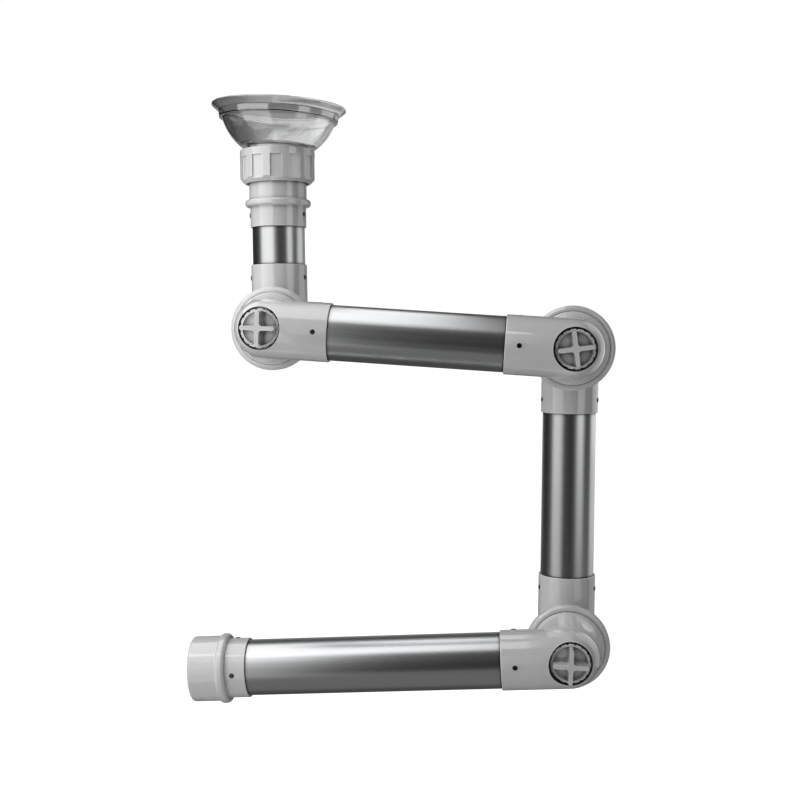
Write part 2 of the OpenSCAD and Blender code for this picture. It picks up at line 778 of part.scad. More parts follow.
module wrist_knob() color(PLASTIC) translate(wrist_pos) knob(knob_turn_wrist);
module shoulder_knob_insert() color(BRASS) translate(shoulder_pos) knob_insert();
module elbow_knob_insert() color(BRASS) translate(elbow_pos) knob_insert();
module wrist_knob_insert() color(BRASS) translate(wrist_pos) knob_insert();

duct_adapter();
lower_tube();
middle_tube();
upper_tube();
hood_tube();
shoulder_front_half();
shoulder_back_half();
elbow_front_half();
elbow_back_half();
wrist_front_half();
wrist_back_half();
shoulder_friction_ring();
elbow_friction_ring();
wrist_friction_ring();
shoulder_tie_rod();
elbow_tie_rod();
wrist_tie_rod();
shoulder_hub_bush();
elbow_hub_bush();
wrist_hub_bush();
shoulder_disc_spring();
elbow_disc_spring();
wrist_disc_spring();
shoulder_thrust_washer();
elbow_thrust_washer();
wrist_thrust_washer();
shoulder_knob();
elbow_knob();
wrist_knob();
shoulder_knob_insert();
elbow_knob_insert();
wrist_knob_insert();
hood_adapter();
hood_gasket();
hood_bowl();
ring_nut();
lower_arm_screws();
middle_arm_screws();
upper_arm_screws();
hood_arm_screws();
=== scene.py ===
"""Looks of a fume extraction arm: duct tubes, friction elbows, clamping knobs and a clear bowl hood."""
import json
import math

import bmesh
import bpy
from mathutils import Matrix, Vector


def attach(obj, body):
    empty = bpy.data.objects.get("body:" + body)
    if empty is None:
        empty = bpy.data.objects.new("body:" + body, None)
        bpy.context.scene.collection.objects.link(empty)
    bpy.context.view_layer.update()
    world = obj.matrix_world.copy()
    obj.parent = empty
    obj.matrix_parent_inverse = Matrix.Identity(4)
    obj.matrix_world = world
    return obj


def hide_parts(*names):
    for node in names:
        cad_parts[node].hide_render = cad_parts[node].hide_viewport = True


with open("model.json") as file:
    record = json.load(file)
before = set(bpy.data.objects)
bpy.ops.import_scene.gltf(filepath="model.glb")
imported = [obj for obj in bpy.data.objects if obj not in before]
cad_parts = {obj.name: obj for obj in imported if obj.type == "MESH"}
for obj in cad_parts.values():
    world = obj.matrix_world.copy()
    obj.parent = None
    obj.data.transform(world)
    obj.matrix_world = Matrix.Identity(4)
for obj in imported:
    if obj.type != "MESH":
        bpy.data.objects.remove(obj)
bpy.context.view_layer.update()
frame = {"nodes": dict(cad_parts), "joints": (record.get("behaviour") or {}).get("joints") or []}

bl_info = {
    "name": "Fume Extraction Arm",
    "version": (1, 0, 0),
    "blender": (4, 5, 0),
    "location": "View3D > Sidebar > Extraction Arm",
    "description": "Dresses the pieces of a fume extraction arm and sets its studio",
    "category": "Object",
}

MM = 0.001

# Places and axes of the joints, and the tubes' lines between them
JOINTS = {j["name"]: j for j in frame["joints"]}
SHOULDER = Vector(JOINTS["shoulder_swing"]["pos_m"])
ELBOW = Vector(JOINTS["elbow_swing"]["pos_m"])
WRIST = Vector(JOINTS["wrist_swing"]["pos_m"])
HOOD_AXIS = Vector(JOINTS["ring_nut_turn"]["axis"])
JOINT_NAMES = ("shoulder", "elbow", "wrist")
TO_BACK = Vector((0, 114 * MM, 0))
ARM_LINES = {
    "lower": (Vector((0, 0, 0)), Vector((1, 0, 0))),
    "middle": (SHOULDER + TO_BACK, (ELBOW - SHOULDER).normalized()),
    "upper": (ELBOW, (WRIST - ELBOW).normalized()),
    "hood": (WRIST + TO_BACK, HOOD_AXIS),
}

# Effects: noise scales are per metre, a span is where a mask starts and ends, a range is what it gives.
# An edge's span is the cosine between the true normal and the rounded one
EDGE_SPAN = (0.998, 0.92)
EDGE_PATCH_SCALE, EDGE_PATCH_SPAN, EDGE_PATCH_RANGE = 900.0, (0.35, 0.6), (0.7, 1.0)
GRAIN_SCALE = 2200.0
CLOUD_SCALE, CLOUD_SPAN = 22.0, (0.35, 0.68)
MARK_SCALE, MARK_SPAN = 34.0, (0.3, 0.7)
LINE_STRETCH = (0.004, 1, 1)
FINE_LINE_SCALE, WIDE_LINE_SCALE, LINE_SPAN = 1800.0, 260.0, (0.3, 0.7)

# Materials: a tone is a share of the material's own colour, a range is the lowest and highest roughness. The
# recess tones are painted shade in seams and recesses
SATIN_RANGE, BUSH_RANGE = (0.2, 0.26), (0.3, 0.4)
# The edge grey and the metal's edge tone are painted highlight on the edges.
EDGE_HIGHLIGHT_GREY, RECESS_SHADE_TONE = 0.95, 0.2
TUBE_LINE_TONE, TUBE_CONTACT_SHADE_TONE, TUBE_ROUGH_SPREAD = 0.98, 0.05, 0.015
METAL_CLOUD_TONE, METAL_EDGE_HIGHLIGHT_TONE = 0.85, 1.35
METAL_RANGE, SCREW_RANGE = (0.25, 0.4), (0.2, 0.3)
RUBBER_COLOUR, RUBBER_SHADE = (0.025, 0.025, 0.027), (0.05, 0.05, 0.052)
BUSH_COLOUR, BUSH_SHADE = (0.75, 0.75, 0.73), (0.7, 0.7, 0.68)

# Meshes: angles in degrees, welding distances in metres. A corner's rounding takes at most its reach,
# a share of the shorter side
NEW_SHARP_ANGLE, NODE_SHARP_ANGLE = 35, 32
NEW_WELD, NODE_WELD = 1e-7, 1e-6
CORNER_STEPS, CORNER_REACH = 5, 0.49
ARC_STEPS, BEAD_STEPS = 18, 11
BEAD_START, BEAD_TURN = -50, 220

# Lamps, each from one place to another on the floor plan, in metres. The upright panels have four
# heights, each with its own brightness
ARM_MIDDLE = Vector((0.3, 0.06, 0))
PANEL_HEIGHTS = ((0.5, 1.35), (0.15, 0.5), (-0.08, 0.15), (-0.4, -0.08))
UPRIGHT_PANELS = (
    ("Left", (-0.05, -0.80), (-0.95, -0.25), (1.05, 0.68, 0.48, 0.38)),
    ("Right", (0.98, -0.70), (1.30, -0.32), (0.85, 0.78, 0.45, 0.12)),
    ("Rim", (1.36, 0.30), (0.87, 0.92), (0.62, 0.75, 0.52, 0.34)))
TOP_PANEL, TOP_PLACE = ((-1.2, 0), (0.42, 0), (0, 1.7)), (-0.39, -0.05, 1.45)
KEY_PANEL = ((-1.3, -1.1), (-1.3, 0.1), (0.2, 1.6))

# Cards over the floor, seen only in reflections as painted reflection, in metres: brightness, front and back
REFLECTION_CARDS = (
    ("Far_card", 0.03, -3.2, -1.0), ("Near_card", 0.14, -1.0, 0.05), ("Back_card", 0.06, 0.05, 3.0))
CARD_RISE, CARD_MIDDLE, CARD_WIDTH = 0.02, 0.3, 5.8

# Floor and backdrop in metres, and how bright the backdrop is to the camera and through the bowl, where its
# glow is painted light
SWEEP_HALF, SWEEP_MIDDLE = (3, 3.4), (0.28, 1.2)
WALL_HEIGHT, BEND_RADIUS, BEND_STEPS = 2.7, 1.2, 16
SWEEP_COLOUR, SWEEP_ROUGHNESS = (0.8, 0.8, 0.8, 1), 0.9
SWEEP_GLOW = 0.85
BOWL_VIEW_ACROSS, BOWL_VIEW_SIDES = (-1.15, -0.4), (0.0, 0.75)
BOWL_VIEW_UP, BOWL_VIEW_ENDS = (1.50, 1.58), (1.0, 0.1)
WORLD_IN_BOWL = 0.1
BLACK, WHITE = (0, 0, 0, 1), (1, 1, 1, 1)

# Camera: yaw, pitch and roll in degrees, and its place from the shoulder axis
CAMERA_TURNS = (5.622, -2.964, 3.158)
CAMERA_PLACE = Vector((-54.14, -1570.57, 438.97)) * MM
SENSOR_WIDTH, CLIP_NEAR, CLIP_FAR = 36, 0.05, 40


def length(name, description, millimetres):
    """A length setting, given in millimetres."""
    return bpy.props.FloatProperty(
        name=name, description=description, subtype="DISTANCE", unit="LENGTH", min=0, default=millimetres * MM)


def tint(name, description, value):
    """A colour setting."""
    return bpy.props.FloatVectorProperty(
        name=name, description=description, subtype="COLOR", size=3, min=0, max=1, default=value)


class ARM_PG_plastic(bpy.types.PropertyGroup):
    """Moulded plastic of the elbows, adapters, knobs and nut"""
    colour: tint("Colour", "Colour of the moulded plastic", (0.70, 0.70, 0.705))
    shade: tint("Shade", "Colour of its cloudier patches", (0.675, 0.675, 0.68))
    edge_round: bpy.props.FloatProperty(
        name="Edge Rounding", description="Rounding of the moulded edges", subtype="DISTANCE",
        unit="LENGTH", min=0, max=0.002, default=0.4 * MM)


class ARM_PG_metal(bpy.types.PropertyGroup):
    """Aluminium tubes and steel fastenings"""
    tube_colour: tint("Tube Colour", "Colour of the drawn aluminium", (0.83, 0.84, 0.85))
    tube_roughness: bpy.props.FloatProperty(
        name="Tube Roughness", description="Roughness between the draw lines", subtype="FACTOR",
        min=0, max=1, default=0.30)
    steel_colour: tint("Steel Colour", "Colour of the clamping parts", (0.55, 0.56, 0.58))
    screw_colour: tint("Screw Colour", "Colour of the sleeve screws", (0.16, 0.16, 0.165))
    brass_colour: tint("Brass Colour", "Colour of the knob inserts", (0.75, 0.58, 0.28))


class ARM_PG_bowl(bpy.types.PropertyGroup):
    """Clear bowl hood"""
    colour: tint("Colour", "Tint of the clear plastic", (0.80, 0.805, 0.81))
    steps: bpy.props.IntProperty(
        name="Steps", description="Steps of the bowl round its axis", min=32, max=256, default=144)
    lean: bpy.props.FloatProperty(
        name="Lean", description="Lean of the bowl in its collar, in degrees", min=0, max=3, default=3)
    collar_at: length("Collar Place", "Wrist axis to the bowl's collar", 244.83)
    wall: length("Wall", "Thickness of the clear wall", 2.6)
    neck: length("Neck", "Radius of the neck in the nut", 43.4)
    collar_width: length("Collar Width", "Width of the collar under the nut's lip", 4.9)
    collar_height: length("Collar Height", "Thickness of that collar", 3)
    foot_at: length("Foot Place", "Collar to the flat foot of the round body", 13.33)
    foot_width: length("Foot Width", "Width of the flat foot", 9.6)
    radius: length("Body Radius", "Radius of the round body's arc", 79.5)
    offset: length("Arc Offset", "Bowl axis to the centre of that arc", 5)
    step_at: length("Step Place", "Collar to the step under the band", 52.23)
    step_width: length("Step Width", "Width of the step", 4)
    band_height: length("Band Height", "Height of the band", 9)
    flare_width: length("Flare Width", "Width of the flare up to the rim", 11.4)
    flare_height: length("Flare Height", "Height of the flare", 9)
    bead: length("Bead", "Radius of the rim's bead", 1.6)
    edge: length("Edge", "Rounding of the moulded edges", 0.7)


class ARM_PG_stage(bpy.types.PropertyGroup):
    """Floor, backdrop, lamps and camera"""
    floor_height: bpy.props.FloatProperty(
        name="Floor Height", description="Height of the floor under the mount", subtype="DISTANCE",
        unit="LENGTH", default=-0.42)
    key_light: bpy.props.FloatProperty(
        name="Key", description="Brightness of the soft key on the left, not seen in reflections",
        min=0, default=1.9)
    panel_light: bpy.props.FloatProperty(
        name="Upright Panels", description="Brightness of the upright panels", min=0, default=1.0)
    top_light: bpy.props.FloatProperty(
        name="Top Panel", description="Brightness of the panel overhead", min=0, default=1.25)
    ambient: bpy.props.FloatProperty(
        name="Ambient", description="Soft light of the room on matte surfaces", min=0, max=1, default=0.27)
    dark_room: bpy.props.FloatProperty(
        name="Dark Room", description="Brightness of the unlit room in reflections",
        min=0, max=1, default=0.012)
    lens: bpy.props.FloatProperty(
        name="Lens", description="Focal length of the camera, in millimetres", min=20, max=200, default=53.02)


# Shader node helpers

def new_group(name, inputs, outputs):
    """A shader node group with float, colour or vector sockets."""
    group = bpy.data.node_groups.new(name, "ShaderNodeTree")
    for label, kind, value in inputs:
        socket = group.interface.new_socket(label, in_out="INPUT", socket_type="NodeSocket" + kind)
        if value is not None:
            socket.default_value = value
    for label, kind in outputs:
        group.interface.new_socket(label, in_out="OUTPUT", socket_type="NodeSocket" + kind)
    start = group.nodes.new("NodeGroupInput")
    end = group.nodes.new("NodeGroupOutput")
    return group, start, end


def set_inputs(node, **values):
    """Sets inputs of a node. An underscore stands for the space in an input's name."""
    for key, value in values.items():
        node.inputs[key.replace("_", " ")].default_value = value


def feed(tree, socket, value):
    """Sends a socket or a number to an input."""
    if isinstance(value, bpy.types.NodeSocket):
        tree.links.new(value, socket)
    else:
        socket.default_value = value


def add(tree, kind, settings=None, **values):
    """A node of a tree, its settings and the values of its inputs."""
    node = tree.nodes.new(kind)
    for key, value in (settings or {}).items():
        setattr(node, key, value)
    set_inputs(node, **values)
    return node


def math_node(tree, operation, a, b, clamp=False):
    """A math node fed by sockets or numbers; gives its output."""
    node = add(tree, "ShaderNodeMath", {"operation": operation, "use_clamp": clamp})
    feed(tree, node.inputs[0], a)
    feed(tree, node.inputs[1], b)
    return node.outputs[0]


def times(tree, a, b, clamp=False):
    """Two sockets or numbers, multiplied."""
    return math_node(tree, "MULTIPLY", a, b, clamp)


def ramp_between(tree, value, low, high, out_low=0.0, out_high=1.0):
    """Maps a value from one span to another, with soft ends."""
    node = add(tree, "ShaderNodeMapRange", {"interpolation_type": "SMOOTHSTEP"})
    tree.links.new(value, node.inputs["Value"])
    for label, number in (("From Min", low), ("From Max", high), ("To Min", out_low), ("To Max", out_high)):
        feed(tree, node.inputs[label], number)
    return node.outputs["Result"]


def mix_colour(tree, factor, a, b):
    """Mixes two colours or colour sockets."""
    node = add(tree, "ShaderNodeMix", {"data_type": "RGBA"})
    tree.links.new(factor, node.inputs[0])
    for slot, value in ((6, a), (7, b)):
        feed(tree, node.inputs[slot], value if isinstance(value, bpy.types.NodeSocket) else (*value, 1))
    return node.outputs[2]


def toned(colour, tone):
    """A colour times a tone, no brighter than white."""
    return tuple(min(1, c * tone) for c in colour)


# Effects that the materials share

def edge_wear_and_highlight_group():
    """Mask of the edges, from the rounded normal, broken into patches like wear. The materials use it to paint
    highlight on the edges.
    """
    group, start, end = new_group(
        "Edge wear and painted highlight", [("Width", "Float", 0.0006), ("Strength", "Float", 1.0)], [("Mask", "Float")])
    rounded = add(group, "ShaderNodeBevel", {"samples": 6})
    group.links.new(start.outputs["Width"], rounded.inputs["Radius"])
    flat = add(group, "ShaderNodeNewGeometry")
    dot = add(group, "ShaderNodeVectorMath", {"operation": "DOT_PRODUCT"})
    group.links.new(rounded.outputs["Normal"], dot.inputs[0])
    group.links.new(flat.outputs["Normal"], dot.inputs[1])
    edge = ramp_between(group, dot.outputs["Value"], *EDGE_SPAN)
    broken = add(group, "ShaderNodeTexNoise", {}, Scale=EDGE_PATCH_SCALE, Detail=3.0)
    where = add(group, "ShaderNodeTexCoord")
    group.links.new(where.outputs["Object"], broken.inputs["Vector"])
    patches = ramp_between(group, broken.outputs["Fac"], *EDGE_PATCH_SPAN, *EDGE_PATCH_RANGE)
    mask = times(group, times(group, edge, patches), start.outputs["Strength"], True)
    group.links.new(mask, end.inputs["Mask"])
    return group


def grain_group():
    """Fine relief and cloudy tone of a moulded or cast surface."""
    group, start, end = new_group(
        "Moulding grain", [("Size", "Float", 1.0), ("Cloud Size", "Float", 1.0)],
        [("Height", "Float"), ("Cloud", "Float")])
    where = add(group, "ShaderNodeTexCoord")
    fine = add(group, "ShaderNodeTexNoise", {}, Detail=4.0, Roughness=0.6)
    cloud = add(group, "ShaderNodeTexNoise", {}, Detail=3.0, Roughness=0.55)
    group.links.new(times(group, start.outputs["Size"], GRAIN_SCALE), fine.inputs["Scale"])
    group.links.new(times(group, start.outputs["Cloud Size"], CLOUD_SCALE), cloud.inputs["Scale"])
    for node in (fine, cloud):
        group.links.new(where.outputs["Object"], node.inputs["Vector"])
    group.links.new(fine.outputs["Fac"], end.inputs["Height"])
    group.links.new(ramp_between(group, cloud.outputs["Fac"], *CLOUD_SPAN), end.inputs["Cloud"])
    return group


def smudge_group():
    """Roughness that varies with handling marks."""
    group, start, end = new_group(
        "Handling marks", [("Low", "Float", 0.3), ("High", "Float", 0.45), ("Size", "Float", 1.0)],
        [("Roughness", "Float")])
    where = add(group, "ShaderNodeTexCoord")
    marks = add(group, "ShaderNodeTexNoise", {}, Detail=5.0, Roughness=0.65, Distortion=0.8)
    group.links.new(times(group, start.outputs["Size"], MARK_SCALE), marks.inputs["Scale"])
    group.links.new(where.outputs["Object"], marks.inputs["Vector"])
    spread = ramp_between(group, marks.outputs["Fac"], *MARK_SPAN, start.outputs["Low"], start.outputs["High"])
    group.links.new(spread, end.inputs["Roughness"])
    return group


def recess_group():
    """Mask of painted shade in seams, recesses and gaps, from ambient occlusion."""
    group, start, end = new_group(
        "Recess shade",
        [("Reach", "Float", 0.006), ("Strength", "Float", 0.6), ("Open", "Float", 0.85),
         ("Shut", "Float", 0.25)],
        [("Mask", "Float")])
    shut = add(group, "ShaderNodeAmbientOcclusion", {"samples": 8, "only_local": False})
    group.links.new(start.outputs["Reach"], shut.inputs["Distance"])
    depth = ramp_between(group, shut.outputs["AO"], start.outputs["Open"], start.outputs["Shut"])
    group.links.new(times(group, depth, start.outputs["Strength"], True), end.inputs["Mask"])
    return group


def draw_line_group():
    """Lines left along a drawn tube. The vector's X runs along the tube."""
    group, start, end = new_group(
        "Draw lines", [("Vector", "Vector", None), ("Density", "Float", 1.0)],
        [("Height", "Float"), ("Tone", "Float")])
    stretch = add(group, "ShaderNodeVectorMath", {"operation": "MULTIPLY"})
    stretch.inputs[1].default_value = LINE_STRETCH
    group.links.new(start.outputs["Vector"], stretch.inputs[0])
    fine = add(group, "ShaderNodeTexNoise", {}, Detail=4.0, Roughness=0.7)
    wide = add(group, "ShaderNodeTexNoise", {}, Detail=2.0)
    for node, scale in ((fine, FINE_LINE_SCALE), (wide, WIDE_LINE_SCALE)):
        group.links.new(times(group, start.outputs["Density"], scale), node.inputs["Scale"])
        group.links.new(stretch.outputs[0], node.inputs["Vector"])
    group.links.new(fine.outputs["Fac"], end.inputs["Height"])
    group.links.new(ramp_between(group, wide.outputs["Fac"], *LINE_SPAN), end.inputs["Tone"])
    return group


EFFECT_MAKERS = {
    "edge": edge_wear_and_highlight_group, "grain": grain_group, "smudge": smudge_group, "recess": recess_group,
    "lines": draw_line_group}
EFFECTS = {}


def effect(material, name, **values):
    """Places a shared effect in a material."""
    if name not in EFFECTS:
        EFFECTS[name] = EFFECT_MAKERS[name]()
    node = material.node_tree.nodes.new("ShaderNodeGroup")
    node.node_tree = EFFECTS[name]
    set_inputs(node, **values)
    return node


# Materials

def new_material(name):
    """A node material, with its tree and shader."""
    material = bpy.data.materials.new(name)
    material.use_nodes = True
    tree = material.node_tree
    return material, tree, tree.nodes["Principled BSDF"]


def bump(tree, shader, height, strength, distance):
    """Sends a height to the shader's normal."""
    node = add(tree, "ShaderNodeBump", {}, Strength=strength, Distance=distance)
    tree.links.new(height, node.inputs["Height"])
    tree.links.new(node.outputs["Normal"], shader.inputs["Normal"])


def moulded_plastic(name, colour, shade, roughness):
    """Satin moulded plastic: cloudy tone, painted highlight on the edges, painted shade in seams and recesses,
    fine grain and handling marks.
    """
    material, tree, shader = new_material(name)
    grain = effect(material, "grain")
    edge = effect(material, "edge", Width=0.0024, Strength=1.0)
    recess = effect(material, "recess", Reach=0.008, Strength=0.9, Open=0.93, Shut=0.35)
    marks = effect(material, "smudge", Low=roughness[0], High=roughness[1])
    tone = mix_colour(tree, grain.outputs["Cloud"], colour, shade)
    # Painted shade: darker in seams and recesses.
    tone = mix_colour(tree, recess.outputs["Mask"], tone, toned(shade, RECESS_SHADE_TONE))
    # Painted highlight: paler edges, as where they catch the light.
    tone = mix_colour(tree, edge.outputs["Mask"], tone, (EDGE_HIGHLIGHT_GREY,) * 3)
    tree.links.new(tone, shader.inputs["Base Color"])
    tree.links.new(marks.outputs["Roughness"], shader.inputs["Roughness"])
    bump(tree, shader, grain.outputs["Height"], 0.04, 0.0001)
    set_inputs(shader, IOR=1.49, Coat_Weight=1, Coat_Roughness=0.02, Coat_IOR=1.95)
    return material


def drawn_tube(name, direction, colour, roughness):
    """Bright drawn aluminium, its lines along the tube and painted shade where a sleeve meets it."""
    material, tree, shader = new_material(name)
    where = add(tree, "ShaderNodeTexCoord")
    turn = add(tree, "ShaderNodeMapping", {"vector_type": "POINT"})
    turn.inputs["Rotation"].default_value = (0, math.atan2(direction.z, direction.x), 0)
    tree.links.new(where.outputs["Object"], turn.inputs["Vector"])
    lines = effect(material, "lines")
    tree.links.new(turn.outputs["Vector"], lines.inputs["Vector"])
    spread = ramp_between(tree, lines.outputs["Tone"], 0.0, 1.0,
                          roughness - TUBE_ROUGH_SPREAD, roughness + TUBE_ROUGH_SPREAD)
    recess = effect(material, "recess", Reach=0.006, Strength=1.0, Open=0.96, Shut=0.6)
    tone = mix_colour(tree, lines.outputs["Tone"], colour, toned(colour, TUBE_LINE_TONE))
    # Painted shade: darker where a sleeve meets the tube.
    tone = mix_colour(tree, recess.outputs["Mask"], tone, toned(colour, TUBE_CONTACT_SHADE_TONE))
    tree.links.new(tone, shader.inputs["Base Color"])
    tree.links.new(spread, shader.inputs["Roughness"])
    set_inputs(shader, Metallic=1)
    bump(tree, shader, lines.outputs["Height"], 0.015, 0.00001)
    return material


def fastener_metal(name, colour, roughness):
    """Plated steel or turned brass of the small parts."""
    material, tree, shader = new_material(name)
    grain = effect(material, "grain", Size=1.5, Cloud_Size=4.0)
    edge = effect(material, "edge", Width=0.0003, Strength=0.8)
    marks = effect(material, "smudge", Low=roughness[0], High=roughness[1], Size=3.0)
    tone = mix_colour(tree, grain.outputs["Cloud"], colour, toned(colour, METAL_CLOUD_TONE))
    # Painted highlight: brighter edges.
    tone = mix_colour(tree, edge.outputs["Mask"], tone, toned(colour, METAL_EDGE_HIGHLIGHT_TONE))
    tree.links.new(tone, shader.inputs["Base Color"])
    tree.links.new(marks.outputs["Roughness"], shader.inputs["Roughness"])
    set_inputs(shader, Metallic=1)
    bump(tree, shader, grain.outputs["Height"], 0.05, 0.0001)
    return material


def black_rubber(name):
    """Matte rubber of the friction rings and the gasket."""
    material, tree, shader = new_material(name)
    grain = effect(material, "grain", Size=0.6, Cloud_Size=2.0)
    marks = effect(material, "smudge", Low=0.65, High=0.85)
    tone = mix_colour(tree, grain.outputs["Cloud"], RUBBER_COLOUR, RUBBER_SHADE)
    tree.links.new(tone, shader.inputs["Base Color"])
    tree.links.new(marks.outputs["Roughness"], shader.inputs["Roughness"])
    bump(tree, shader, grain.outputs["Height"], 0.2, 0.0003)
    return material


def clear_plastic(name, colour):
    """Clear bowl plastic with faint handling marks."""
    material, tree, shader = new_material(name)
    marks = effect(material, "smudge", Low=0.03, High=0.09, Size=0.6)
    tree.links.new(marks.outputs["Roughness"], shader.inputs["Roughness"])
    set_inputs(shader, Base_Color=(*colour, 1), Transmission_Weight=1, IOR=1.58,
               Coat_Weight=1, Coat_Roughness=0.04, Coat_IOR=2.1)
    return material


def shared_material(name, make, *values):
    """The material of that name, made once."""
    return bpy.data.materials.get(name) or make(name, *values)


def light_plastic():
    """The plastic of most visible pieces."""
    plastic = bpy.context.scene.arm_plastic
    return shared_material("Light grey plastic", moulded_plastic, tuple(plastic.colour), tuple(plastic.shade),
                           SATIN_RANGE)


# Mesh helpers

def tube_frame(line):
    """Matrix of a tube's frame: X along the tube, Y along the joint axes."""
    origin, direction = line
    up = Vector((-direction.z, 0, direction.x))
    matrix = Matrix((direction, Vector((0, 1, 0)), up)).transposed().to_4x4()
    matrix.translation = origin
    return matrix


def down_tube(line, lean, at):
    """Matrix that lays a shape drawn along Z down a tube, from a distance along it."""
    place = tube_frame(line) @ Matrix.Translation((at, 0, 0))
    return place @ Matrix.Rotation(math.radians(lean) + math.pi / 2, 4, "Y")


def spin_profile(bm, points, steps):
    """Spins a closed outline of (radius, height) points once round Z."""
    verts = [bm.verts.new((r, 0, z)) for r, z in points]
    edges = [bm.edges.new(pair) for pair in zip(verts, verts[1:] + verts[:1])]
    bmesh.ops.spin(bm, geom=verts + edges, cent=(0, 0, 0), axis=(0, 0, 1), angle=2 * math.pi,
                   steps=steps, use_merge=True)
    bmesh.ops.remove_doubles(bm, verts=bm.verts, dist=NEW_WELD)
    bmesh.ops.recalc_face_normals(bm, faces=bm.faces)


def rounded(points, radii):
    """An outline with its corners rounded. Each radius belongs to one point, 0 leaves it sharp."""
    out = []
    count = len(points)
    for i, (point, radius) in enumerate(zip(points, radii)):
        here = Vector(point)
        if not radius:
            out.append(tuple(here))
            continue
        before = Vector(points[i - 1]) - here
        after = Vector(points[(i + 1) % count]) - here
        half = before.angle(after) / 2
        reach = min(radius / math.tan(half), before.length * CORNER_REACH, after.length * CORNER_REACH)
        radius = reach * math.tan(half)
        centre = here + (before.normalized() + after.normalized()).normalized() * (radius / math.sin(half))
        start = here + before.normalized() * reach - centre
        turn = start.angle_signed(here + after.normalized() * reach - centre)
        for step in range(CORNER_STEPS + 1):
            a = -turn * step / CORNER_STEPS
            out.append((centre.x + start.x * math.cos(a) - start.y * math.sin(a),
                        centre.y + start.x * math.sin(a) + start.y * math.cos(a)))
    return out


def mesh_object(bm, name, material):
    """Makes an object of a mesh and its material, and puts it in the scene."""
    mesh = bpy.data.meshes.new(name)
    bm.to_mesh(mesh)
    bm.free()
    mesh.materials.append(material)
    made = bpy.data.objects.new(name, mesh)
    bpy.context.scene.collection.objects.link(made)
    return made


def finish_piece(bm, name, place, material, body, nodes):
    """Makes the object of a new piece, in place and riding on its body."""
    bmesh.ops.transform(bm, matrix=place, verts=bm.verts)
    for face in bm.faces:
        face.smooth = True
    for edge in bm.edges:
        if len(edge.link_faces) == 2 and edge.calc_face_angle(0) > math.radians(NEW_SHARP_ANGLE):
            edge.smooth = False
    piece = mesh_object(bm, name, material)
    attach(piece, body)
    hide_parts(*nodes)


def dress_node(name, material, edge_round=0.0):
    """Gives a node of the frame its finish, with welded smooth faces and rounded or sharp edges."""
    node = frame["nodes"][name]
    node.data.materials.clear()
    node.data.materials.append(material)
    custom = node.data.attributes.get("custom_normal")
    if custom is not None:
        node.data.attributes.remove(custom)
    for face in node.data.polygons:
        face.use_smooth = True
    weld = node.modifiers.new("Weld", "WELD")
    weld.merge_threshold = NODE_WELD
    if edge_round:
        bevel = node.modifiers.new("Rounded edges", "BEVEL")
        bevel.limit_method = "ANGLE"
        bevel.angle_limit = math.radians(NODE_SHARP_ANGLE)
        bevel.width = edge_round
        bevel.segments = 2
        bevel.harden_normals = True
        bevel.use_clamp_overlap = True
    else:
        split = node.modifiers.new("Sharp edges", "EDGE_SPLIT")
        split.split_angle = math.radians(NODE_SHARP_ANGLE)


def dress_in_plastic(name):
    """Gives a node the light grey plastic and its rounded edges."""
    dress_node(name, light_plastic(), bpy.context.scene.arm_plastic.edge_round)


# Operators

class ARM_OT_tubes(bpy.types.Operator):
    """Gives the four duct tubes their drawn aluminium finish"""
    bl_idname = "arm.tubes"
    bl_label = "Duct Tubes"

    def execute(self, context):
        metal = context.scene.arm_metal
        for name, (origin, direction) in ARM_LINES.items():
            dress_node(name + "_tube", drawn_tube(
                "Drawn aluminium, %s tube" % name, direction, tuple(metal.tube_colour), metal.tube_roughness))
        return {"FINISHED"}


class ARM_OT_elbow_halves(bpy.types.Operator):
    """Dresses the six elbow halves"""
    bl_idname = "arm.elbow_halves"
    bl_label = "Elbow Halves"

    def execute(self, context):
        for joint in JOINT_NAMES:
            for side in ("front", "back"):
                dress_in_plastic("%s_%s_half" % (joint, side))
        return {"FINISHED"}


class ARM_OT_clamping_parts(bpy.types.Operator):
    """Dresses the tie rods, bushes, springs, washers, inserts and friction rings"""
    bl_idname = "arm.clamping_parts"
    bl_label = "Clamping Parts"

    def execute(self, context):
        metal = context.scene.arm_metal
        steel = fastener_metal("Plated steel", tuple(metal.steel_colour), METAL_RANGE)
        brass = fastener_metal("Turned brass", tuple(metal.brass_colour), METAL_RANGE)
        acetal = moulded_plastic("White bush plastic", BUSH_COLOUR, BUSH_SHADE, BUSH_RANGE)
        finishes = {
            "tie_rod": steel, "disc_spring": steel, "thrust_washer": steel, "knob_insert": brass,
            "friction_ring": shared_material("Black rubber", black_rubber), "hub_bush": acetal}
        for joint in JOINT_NAMES:
            for part, finish in finishes.items():
                dress_node("%s_%s" % (joint, part), finish)
        return {"FINISHED"}


class ARM_OT_knobs(bpy.types.Operator):
    """Dresses the three clamping knobs"""
    bl_idname = "arm.knobs"
    bl_label = "Clamping Knobs"

    def execute(self, context):
        for joint in JOINT_NAMES:
            dress_in_plastic(joint + "_knob")
        return {"FINISHED"}


class ARM_OT_screws(bpy.types.Operator):
    """Dresses the screws that hold the sleeves on the tubes"""
    bl_idname = "arm.screws"
    bl_label = "Sleeve Screws"

    def execute(self, context):
        # The screws' dark colour is painted shade, standing in for the shade in their seats.
        dark_screw_steel = fastener_metal("Dark screw steel", tuple(context.scene.arm_metal.screw_colour), SCREW_RANGE)
        for arm in ARM_LINES:
            dress_node(arm + "_arm_screws", dark_screw_steel)
        return {"FINISHED"}


class ARM_OT_duct_adapter(bpy.types.Operator):
    """Dresses the adapter that takes the extraction duct"""
    bl_idname = "arm.duct_adapter"
    bl_label = "Duct Adapter"

    def execute(self, context):
        dress_in_plastic("duct_adapter")
        return {"FINISHED"}


